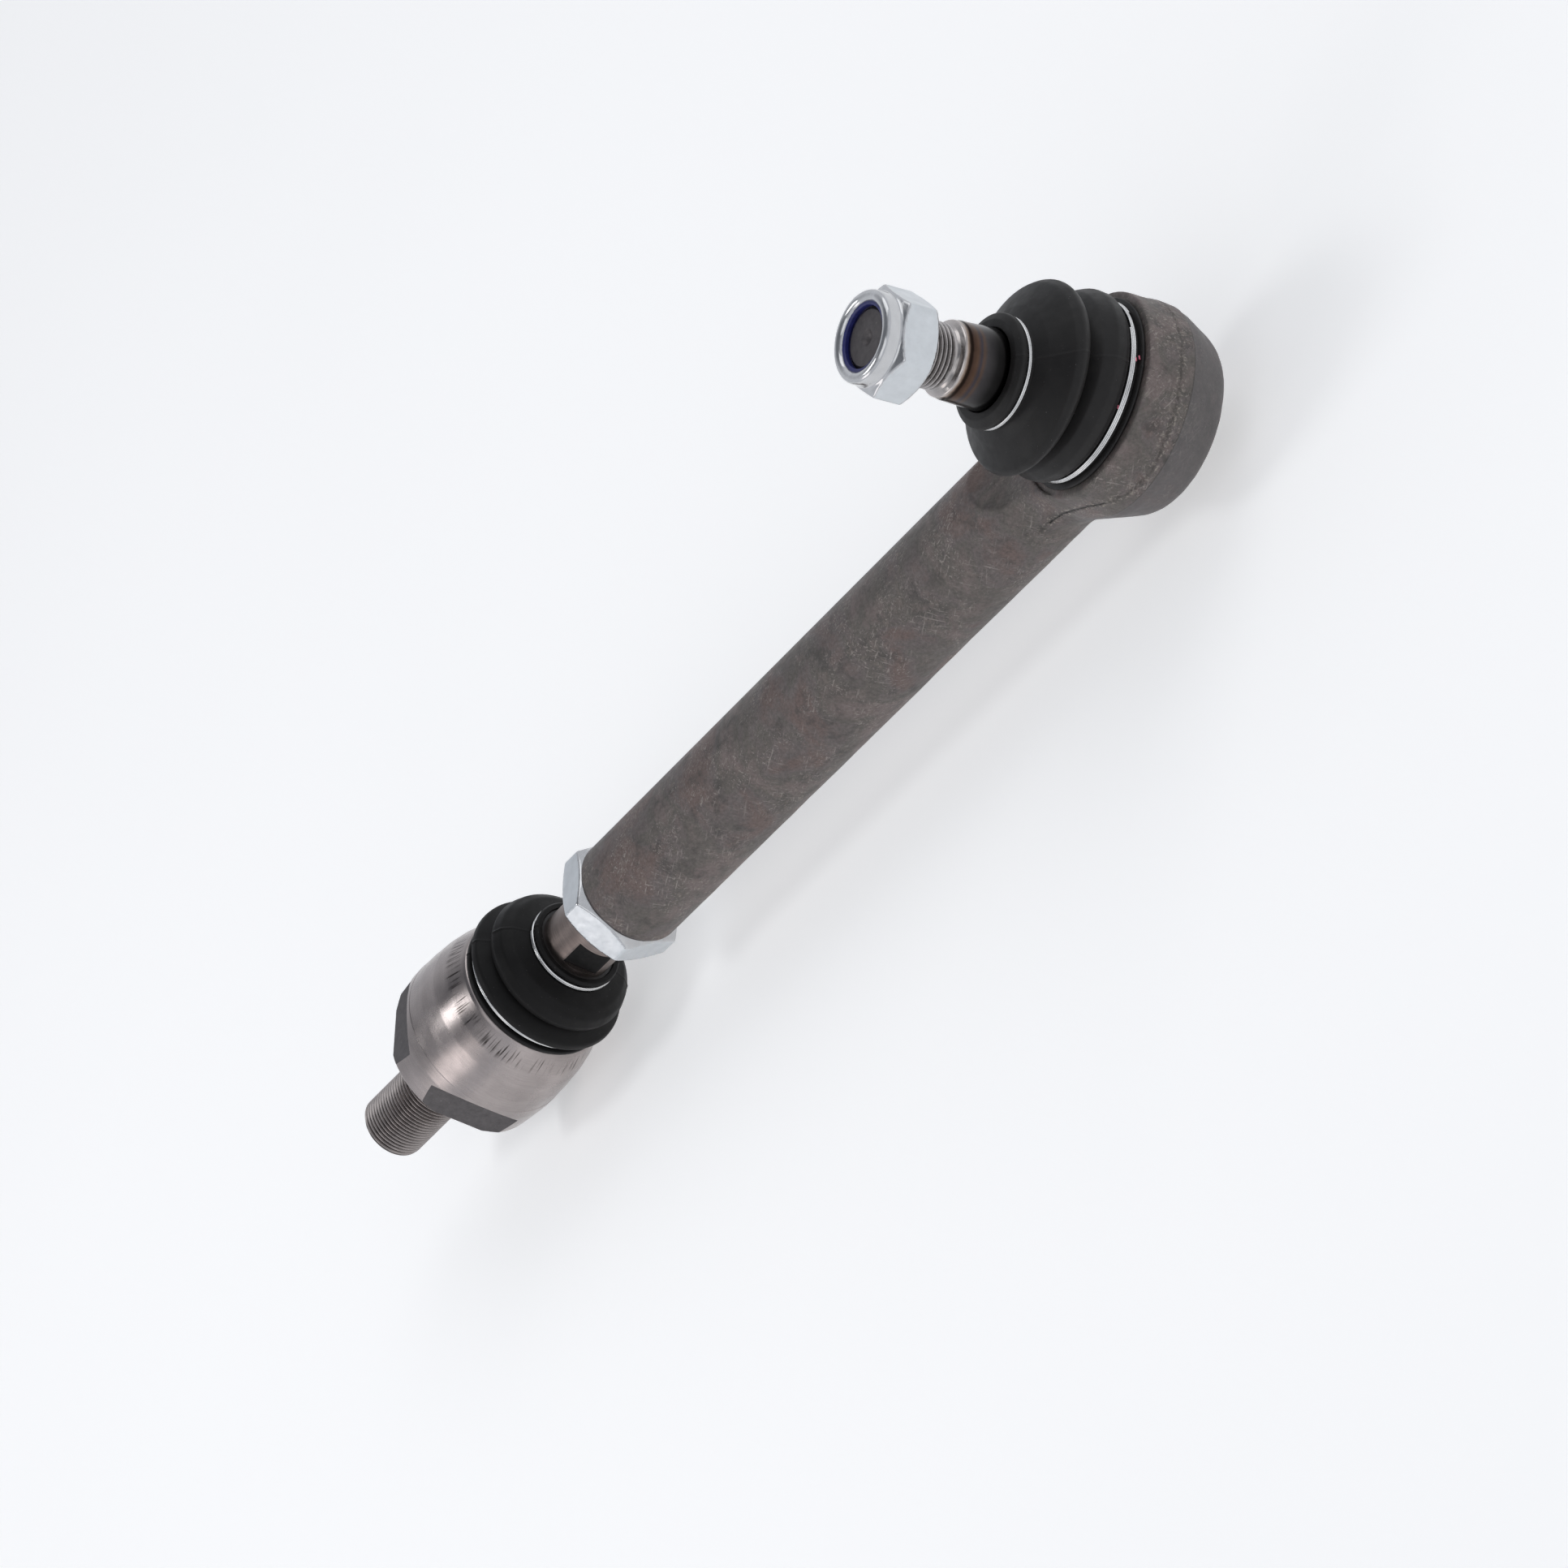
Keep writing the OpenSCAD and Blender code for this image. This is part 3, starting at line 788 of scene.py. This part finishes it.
def make_rod():
    """The forging's mesh, with the marks that its look reads."""
    fine = 0.61
    # fine at the tube's end and in the head, coarse along the plain tube
    xs = np.concatenate([np.arange(TUBE_END - 0.6, TUBE_END + 1.6, 0.3),
                         np.arange(TUBE_END + 2, HEAD_X - 66, 2.2),
                         np.arange(HEAD_X - 65.5, HEAD_X + 33.8, fine)])
    ys = np.arange(-33.6, 33.7, fine)
    zs = np.arange(-22.12, 19.0, fine)
    pts, quads = net(rod_field, xs, ys, zs)
    pts = pts + normals_of(rod_field, pts) * rod_detail(pts)[:, None]
    obj = piece("rod_forging", pts, quads, [FORGING], "rod", ["rod_body"])
    where = np.empty(len(obj.data.vertices) * 3)
    obj.data.vertices.foreach_get("co", where)
    p = where.reshape(-1, 3) / MM
    x, y, z = p[:, 0] - HEAD_X, p[:, 1], p[:, 2]
    fold = np.clip((x + 50) / 14, 0, 1) + 0.5 * in_fold(x, y)
    far = 9.0                            # a height at which the marks have no effect
    on_head_side = (np.hypot(x, y) > 26) & (x > -31)
    cone = np.where(on_head_side, z - HEAD_WIDE_Z, far)
    gap = np.where(np.abs(z) < far, z - parting_height(x, y), far)
    marks = obj.data.attributes.new("marks", "FLOAT_VECTOR", "POINT")
    marks.data.foreach_set("vector", np.stack([gap, fold, cone], -1).ravel())


make_rod()


# ---- nuts
def nut_field(af, height, turn, bore, face_r, collar=None):
    """Field of a chamfered hexagon nut about local Z, optionally with a rolled collar on top."""
    top = height if collar is None else collar["from"]
    slope = math.radians(30)

    def field(p):
        r = np.hypot(p[:, 0], p[:, 1])
        d = None
        for k in range(3):
            a = math.radians(turn + 30 + 60 * k)
            side = np.abs(p[:, 0] * math.cos(a) + p[:, 1] * math.sin(a)) - af / 2
            d = side if d is None else soft_max(d, side, 0.5)
        for from_end in (p[:, 2], top - p[:, 2]):
            cone = ((r - face_r) * math.tan(slope) - from_end) * math.cos(slope)
            d = soft_max(d, soft_max(cone, -from_end, 0.3), 0.45)
        if collar:
            # the rolled lip: round on top, its inner edge turned down over the insert
            half = collar["half"]
            ring = np.hypot(r - collar["mid"], np.maximum(p[:, 2] - height + half, 0)) - half
            ring = np.maximum(ring, top - 1 - p[:, 2])
            d = soft_min(d, ring, 0.7)
            d = soft_max(d, -np.maximum(r - 11.6, np.abs(p[:, 2] - top - 1.5) - 1.5), 0.1)
        lead_in = np.maximum(1.1 - p[:, 2], 0) * 0.8
        if collar is None:
            lead_in = lead_in + np.maximum(p[:, 2] - height + 1.1, 0) * 0.8
        return soft_max(d, bore + lead_in - r, 0.2)

    return field


def make_nut(name, field, reach, height, step, place, body, node, flats_to):
    """reach is half the mesh grid's width, step its spacing, and place moves local points to the row."""
    foot, above = place(np.array([[0.0, 0.0, 0.0], [0.0, 0.0, 1.0]]))
    axis = above - foot

    def pick(c, n):
        """The turned chamfers and lip are brighter than the flats."""
        flat = (np.abs(n @ axis) < 0.12) & ((c - foot) @ axis < flats_to)
        return (~flat).astype(int)

    xs = np.arange(-reach, reach + step, step)
    zs = np.arange(-step * 1.5, height + step * 2, step)
    pts, quads = net(field, xs, xs, zs)
    dents = 0.03 * value_noise(pts, 2.5, 11) + 0.015 * value_noise(pts, 0.9, 12)
    pts = pts + normals_of(field, pts) * dents[:, None]
    piece(name, place(pts), quads, [ZINC, ZINC_TURNED], body, [node], pick=pick)


NUT_FROM = 73.5                      # the stud nut's lower face, along the stud
NUT_H = 18.2
LIP = {"from": NUT_H - 4.7, "mid": 12.1, "half": 1.85}
make_nut("stud_nut_hex", nut_field(29.5, NUT_H, 4.5, 10.08, 13.4, LIP),
         17.9, NUT_H, 0.4, lambda p: leaned(p + [0, 0, NUT_FROM]), "stud_nut", "stud_nut", LIP["from"])
make_nut("lock_nut_hex", nut_field(36.0, LOCK_NUT_H, 88.0, 12.06, 16.9), 21.4, LOCK_NUT_H, 0.42,
         lambda p: along_rod(p + [0, 0, TUBE_END - LOCK_NUT_H]), "lock_nut", "lock_nut", LOCK_NUT_H)


# ---- outer stud
def ball_arc(neck, n=20):
    """Profile of a ball from its bottom up to where a neck of that radius leaves it."""
    a = np.radians(np.linspace(-90, 90 - math.degrees(math.asin(neck / BALL_R)), n))
    return [(BALL_R * math.cos(t), BALL_R * math.sin(t)) for t in a]


stud_line = [(max(r, 0.02), h) for r, h in ball_arc(9.0)]
stud_line += [(9, 19, 3), (12.4, 32, 2), (12.4, 47), (12.1, 53), (11.8, 60.1, 0.4), (11.5, 60.7, 0.4),
              (11.6, 62.5, 0.9), (9.9, 63.3, 0.8), (9.15, 64.0, 0.6), (9.15, 65.4)]
pts, faces = lathe(dense(rounded(stud_line), 2.5), 96)
piece("stud_body", leaned(pts), faces, [SEAT], "outer_stud", ["outer_ball_stud"], sharp=50)
pts, faces = thread(STUD_R, 64.3, STUD_TOP, high_taper=0.0, low_taper=0.9)
piece("stud_thread_bar", leaned(pts), faces, [STUD_THREAD], "outer_stud", sharp=40)
end_line = rounded([(9.6, 87.6), (9.05, 88.4, 0.2), (8.4, 89.1, 0.3), (2.6, 89.05, 0.3), (1.6, 88.05, 0.3),
                    (0.02, 87.5)])
pts, faces = lathe(dense(np.vstack([[0.02, 87.0], [9.0, 87.0], end_line]), 1.5), 72)
piece("stud_end_face", leaned(pts), faces, [MILLED], "outer_stud", sharp=40)

# nylon insert
insert = rounded([(10.05, 87.2, 0.2), (11.5, 87.2, 0.2), (11.5, 89.8, 0.2), (10.9, 90.5, 0.3),
                  (9.35, 90.5, 0.5), (9.35, 89.0, 0.3), (10.05, 88.3, 0.2)], closed=True)
pts, faces = lathe(insert, 96, closed=True)
piece("nylon_insert", leaned(pts), faces, [NYLON], "nut_insert", ["stud_nut_insert"],
      sharp=60)


# ---- outer boot
def bend_to_stud(p):
    """Upright below the valley, square to the stud above it. p is local to the head."""
    t = np.clip((p[:, 2] - 17.0) / 26.0, 0, 1)
    return tilted(p, LEAN * t * t * (3 - 2 * t))


def seam(angle, width, height):
    """A moulding seam: a thin ridge at two opposite angles, for lathe()'s shape."""
    def shape(r, h, a):
        off = (a - angle + math.pi / 2) % math.pi - math.pi / 2
        return r + height * np.exp(-((off * r / width) ** 2)), h
    return shape


SEAM_COLS = 160                      # columns in a boot


def seam_angles(angle, cols):
    """Angles for every row, crowded near the two seams."""
    t = np.arange(cols // 2) / (cols // 2)
    squeeze = t - 0.92 * np.sin(2 * math.pi * t) / (2 * math.pi)
    half = squeeze * math.pi + angle
    return np.concatenate([half, half + math.pi])


def ring(name, place, body, node, path, size, flat=1.0):
    """A wound wire ring that stands for a CAD ring."""
    pts, faces = sweep(path, size, 8, flat)
    piece(name, place(pts), faces, [WIRE], body, [node], sharp=60)


outer_line = rounded([
    (25.3, 11.3, 0.3), (29.3, 11.3, 0.5), (29.3, 12.2, 0.5), (27.0, 12.5, 0.3), (27.0, 15.7, 0.3),
    (28.0, 15.9, 0.4), (29.1, 17.6, 1.6), (29.2, 20.6, 2.4), (27.4, 24.6, 2.5), (23.0, 28.4, 0.9),
    (28.3, 30.2, 1.4), (29.7, 32.6, 2.2), (28.3, 35.2, 2.4), (20.6, 40.0, 4.0), (16.3, 42.2, 0.4),
    (15.95, 42.7, 0.2), (15.95, 44.6, 0.3), (17.2, 44.9, 0.5), (17.35, 46.6, 1.0), (15.0, 47.9, 1.0),
    (12.55, 48.0, 0.4), (12.5, 47.2, 0.2), (13.45, 47.1, 0.1), (13.45, 41.4, 0.3), (15.3, 40.6, 0.5),
    (19.4, 38.4, 3.0), (25.9, 34.4, 2.2), (27.4, 32.6, 1.2), (26.0, 31.2, 1.2), (21.7, 28.5, 1.0),
    (25.2, 24.2, 1.6), (26.8, 20.4, 2.0), (26.4, 18.4, 1.0), (25.3, 16.8, 0.3)],
    closed=True, turn=12)
profile = dense(outer_line, 1.1, closed=True)
outer_seam = math.radians(-20)
angles = np.tile(seam_angles(outer_seam, SEAM_COLS), (len(profile), 1))
pts, faces = lathe(profile, closed=True, angles=angles, shape=seam(outer_seam, 0.45, 0.16))
piece("outer_bellows", on_head(bend_to_stud(pts)), faces, [RUBBER_OUTER], ("outer_race", "outer_neck"),
      ["outer_boot"], sharp=60, blend=((0.370, 0, 0.0185), (0.370, 0, 0.0385)))

# flat coil of three turns round the boot's foot, its ends apart
ring("outer_coil_large", on_head, "outer_race", "outer_boot_ring_large",
     coil(27.6, 13.25, 14.9, 24, 24 + 2 * 360 + 343, 0.012), 0.33, 1.12)
# paint dabs beside it: radius, angle, height, width
for number, (r, a, h, w) in enumerate([(27.75, -15.5, 13.3, 0.55), (28.6, -14.6, 12.75, 0.5),
                                       (27.75, -47, 15.3, 0.35)]):
    pts, faces = sweep(coil(r, h, h + 0.3, a - 1.1, a + 1.1, step=0.3), w * 0.5, 8, 1.1)
    piece(f"paint_dab_{number}", on_head(pts), faces, [PAINT], "outer_race")
ring("outer_coil_small", leaned, "outer_neck", "outer_boot_ring_small",
     coil(16.5, 43.25, 44.15, 140, 140 + 712), 0.45)


# ---- inner pin
FLAT_START = math.radians(85)        # local angle whose row normal lies 5 degrees under +Y
FLAT_LOW, FLAT_HIGH = 72.4, 82.5     # the wrench flats on the shank
pin_head = [(max(r, 0.02), INNER_X + h) for r, h in ball_arc(9.0)]
pin_line = rounded(pin_head + [(9, INNER_X + 31, 1), (PIN_R, INNER_X + 38, 1), (PIN_R, 72.35)])
pin_tail = [(PIN_R, h) for h in (FLAT_LOW, 74.9, 77.4, 80, FLAT_HIGH, 82.55, 86.5)]
line = np.vstack([dense(pin_line, 2.5), pin_tail, [(11.2, 87.3), (11.1, 88.2)]])


def pin_reach(h):
    """The wrench flats are cut between two heights only."""
    return 10.5 if FLAT_LOW - 0.01 < h < FLAT_HIGH + 0.01 else 99.0


angles, shape = flatted(line, pin_reach, 2, FLAT_START, 14, 26)


def pin_pick(c, n):
    """The flats and not their end faces."""
    on_flat = (c[:, 0] > FLAT_LOW + 0.01) & (c[:, 0] < FLAT_HIGH) & (np.hypot(c[:, 1], c[:, 2]) < 11.9)
    return (on_flat & (np.abs(n[:, 0]) < 0.5)).astype(int)


pts, faces = lathe(line, angles=angles, shape=shape)
piece("pin_shank", along_rod(pts), faces, [SHANK.mat, MILLED_DARK], "inner_pin",
      ["inner_ball_pin"], sharp=35, pick=pin_pick)
pts, faces = thread(PIN_R, 86.8, 164.5, cols=72, low_taper=0.9, high_taper=1.2, low_fade=1.6)
piece("pin_thread_bar", along_rod(pts), faces, [PIN_THREAD], "inner_pin", sharp=40)


# ---- inner housing
line = dense(rounded([
    (10.6, -0.02), (25.9, 0.0, 0.4), (28.1, 2.3, 1.0), (28.75, 8.0, 6.0), (29.2, 13.0, 9.0),
    (29.3, 17.25, 0.1), (29.2, 17.45, 0.1), (29.05, 24.0, 9.0), (28.5, 31.0, 9.0), (27.5, 37.0, 9.0),
    (26.1, 42.0, 4.0), (25.6, 43.8, 1.5), (25.2, 44.6, 0.4), (24.6, HOUSING_TOP, 0.2), (21.55, HOUSING_TOP),
    (21.55, 51.0, 0.3), (18.9, 51.0, 0.2), (16.4, 36.6, 0.2), (19.5, 36.55), (19.5, 7.0, 0.4),
    (0.02, 7.0)], turn=6), 2.2)
FLAT_H = 24.3                        # the flats' distance from the axis
RUN_OUT = 11.0                       # the flats leave the body at 45 degrees from here


def flat_reach(h):
    """Distance of the flats from the axis at height h."""
    return FLAT_H + max(0.0, h - RUN_OUT)


# extra rows through the run-outs, so that their edges are crisp
for level in np.arange(RUN_OUT, RUN_OUT + 5.3, 0.35):
    at = int(np.argmax(line[:, 1] > level))
    edge = np.interp(level, line[at - 1:at + 1, 1], line[at - 1:at + 1, 0])
    if abs(line[at - 1, 1] - level) > 0.05 and abs(line[at, 1] - level) > 0.05:
        line = np.vstack([line[:at], [edge, level], line[at:]])
angles, cutter = flatted(line, flat_reach, 4, FLAT_START, 14, 14)


def housing_shape(r, h, a):
    r, h = cutter(r, h, a)
    # crimp marks pressed in beside the rim
    marks = 0.5 + 0.5 * np.cos(a * 90 + 2 * np.sin(a * 7))
    strength = np.clip(np.sin(a * 3 + 0.7) * 0.5 + np.sin(a * 11) * 0.3 + 0.45, 0, 1)
    belt = np.exp(-(((h - 40.2) / 1.9) ** 4)) * (r > 24)
    return r - 0.05 * marks ** 3 * strength * belt, h


def refine(angles, times):
    """Each row of angles with times as many columns."""
    nxt = np.roll(angles, -1, axis=1)
    nxt[:, -1] += 2 * math.pi
    cols = [angles + (nxt - angles) * k / times for k in range(times)]
    return np.stack(cols, -1).reshape(len(angles), -1)


def housing_pick(c, n):
    """The flats and their run-outs are milled; everything else is turned."""
    spread = math.pi / 2
    off = (np.arctan2(n[:, 2], n[:, 1]) + math.radians(5) + spread / 2) % spread - spread / 2
    steep = (np.abs(n[:, 0]) < 0.02) | (n[:, 0] < -0.6)
    flat = (c[:, 0] > 0.02) & (c[:, 0] < RUN_OUT + 5.2) & steep & (np.abs(off) < 0.02)
    return flat.astype(int)


pts, faces = lathe(line, angles=refine(angles, 3), shape=housing_shape)
piece("housing_body", along_rod(pts), faces, [HOUSING.mat, MILLED], "inner_housing",
      ["inner_housing"], sharp=32, pick=housing_pick)
pts, faces = thread(STUB_R, -42.5, 0.6, low_taper=1.3, high_taper=0.9, high_fade=2.0)
piece("housing_stub_thread", along_rod(pts), faces, [STUB_THREAD], "inner_housing", sharp=40)


# ---- inner boot
inner_line = rounded([
    (21.7, 45.15, 0.3), (25.2, 45.15, 0.5), (25.2, 46.7, 0.5), (23.5, 47.0, 0.3), (23.5, 49.2, 0.3),
    (24.9, 49.3, 0.5), (26.9, 51.0, 1.3), (26.6, 53.4, 1.6), (21.0, 56.6, 0.6), (23.8, 57.5, 0.8),
    (24.3, 59.6, 1.4), (23.2, 62.8, 2.4), (20.6, 65.2, 2.6), (15.4, 66.9, 0.8), (14.3, 67.0, 0.3),
    (14.3, 69.2, 0.3), (15.1, 69.4, 0.3), (15.3, 70.4, 0.5), (14.7, 71.2, 0.5), (13.1, 71.2, 0.3),
    (13.05, 66.0, 0.3), (15.0, 65.1, 0.6), (19.6, 63.4, 1.4), (21.6, 61.4, 1.4), (22.3, 59.4, 0.8),
    (20.0, 58.0, 0.6), (19.2, 56.4, 0.6), (24.2, 53.0, 1.2), (24.2, 51.8, 0.8), (21.65, 51.2, 0.3)],
    closed=True, turn=12)
profile = dense(inner_line, 0.9, closed=True)
# mould seams stand at 83 and -97 degrees from +Y towards +Z, which is local angle 180 - 7
inner_seam = math.radians(173)
angles = np.tile(seam_angles(inner_seam, SEAM_COLS), (len(profile), 1))
pts, faces = lathe(profile, closed=True, angles=angles, shape=seam(inner_seam, 0.4, 0.22))
piece("inner_bellows", along_rod(pts), faces, [RUBBER_INNER], ("inner_neck", "inner_race"),
      ["inner_boot"], sharp=60, blend=((0.0660, 0, 0), (0.0515, 0, 0)))
ring("inner_coil_large", along_rod, "inner_race", "inner_boot_ring_large",
     coil(24.0, 47.5, 48.7, 30, 30 + 700, 0.04), 0.46)
# the small ring's ends stand either side of 78 degrees from +Y
ring("inner_coil_small", along_rod, "inner_neck", "inner_boot_ring_small",
     coil(14.85, 67.6, 68.6, 174, 174 + 706), 0.50)

# ---- CAD nodes that stay
STAYING = [
    (PLATE.mat, ["outer_end_cover", "outer_preload_spring", "inner_closing_ring"]),
    (ACETAL, ["outer_pressure_plate", "outer_lower_race", "outer_upper_race", "inner_race_lower",
              "inner_race_upper"]),
    (BLACK, ["outer_boot_bush", "inner_boot_sleeve"])]
for look, nodes in STAYING:
    for node in nodes:
        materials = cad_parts[node].data.materials
        materials.clear()
        materials.append(look)

# ---- floor, light, camera
floor_mesh = bpy.data.meshes.new("floor")
REACH = 6.0                          # metres
FLOOR_Z = -0.0336                    # clear of the housing at its full swing
floor_mesh.from_pydata([(x * REACH, y * REACH, FLOOR_Z) for x, y in ((-1, -1), (1, -1), (1, 1), (-1, 1))],
                       [], [(0, 1, 2, 3)])
floor = bpy.data.objects.new("floor", floor_mesh)
bpy.context.scene.collection.objects.link(floor)
paper = Look("floor_paper", roughness=0.9)
paper.colour(paper.between(paper.noise(400, 2, 0.5), grey(0.93), grey(0.95)))
paper.set("Emission Color", (1, 1, 1, 1))
paper.set("Emission Strength", 0.30)
floor_mesh.materials.append(paper.mat)

world = bpy.data.worlds.new("studio")
bpy.context.scene.world = world
world.use_nodes = True
sky_nodes = world.node_tree.nodes
sky = sky_nodes["Background"]
direction = sky_nodes.new("ShaderNodeTexCoord")
split = sky_nodes.new("ShaderNodeSeparateXYZ")
fall = sky_nodes.new("ShaderNodeValToRGB")
link = world.node_tree.links.new
link(direction.outputs["Generated"], split.inputs["Vector"])
link(split.outputs["Z"], fall.inputs["Fac"])
link(fall.outputs["Color"], sky.inputs["Color"])
sky.inputs["Strength"].default_value = 1.0
# a bright horizon under a dim zenith
bright, dim = fall.color_ramp.elements
bright.position, bright.color = 0.50, (0.70, 0.72, 0.76, 1)
dim.position, dim.color = 0.90, (0.16, 0.17, 0.19, 1)
MIDDLE = np.array([0.19, 0.0, 0.02])   # of the object, in metres


def area_light(name, towards, distance, size, power, colour=(1, 1, 1)):
    """A square area light that looks at the object's middle from direction towards."""
    data = bpy.data.lights.new(name, "AREA")
    data.shape = "SQUARE"
    data.size = size
    data.energy = power
    data.color = colour
    obj = bpy.data.objects.new(name, data)
    bpy.context.scene.collection.objects.link(obj)
    d = np.array(towards, float)
    d /= np.linalg.norm(d)
    obj.location = MIDDLE + d * distance
    obj.rotation_euler = Vector(d).to_track_quat("Z", "Y").to_euler()


area_light("key_left", (-0.45, -0.1, 0.88), 1.5, 0.42, 2.8)
area_light("fill_front", (0.35, -0.6, 0.72), 2.0, 1.2, 3.2)
area_light("sheen_left", (-0.65, -0.60, 0.46), 1.8, 0.7, 1.9, (1.0, 0.93, 0.90))
area_light("fill_back", (0.5, 0.6, 0.62), 2.0, 1.2, 4)

camera_data = bpy.data.cameras.new("camera")
camera_data.sensor_width = 36.0
camera_data.lens = 204.97
camera_data.clip_end = 50
camera = bpy.data.objects.new("camera", camera_data)
camera.location = (1.946394, -1.652468, 1.221347)
camera.rotation_euler = [math.radians(a) for a in (33.246837, 57.181650, -4.991656)]
bpy.context.scene.collection.objects.link(camera)
bpy.context.scene.camera = camera

bpy.context.scene.view_settings.view_transform = "Standard"
bpy.context.view_layer.update()
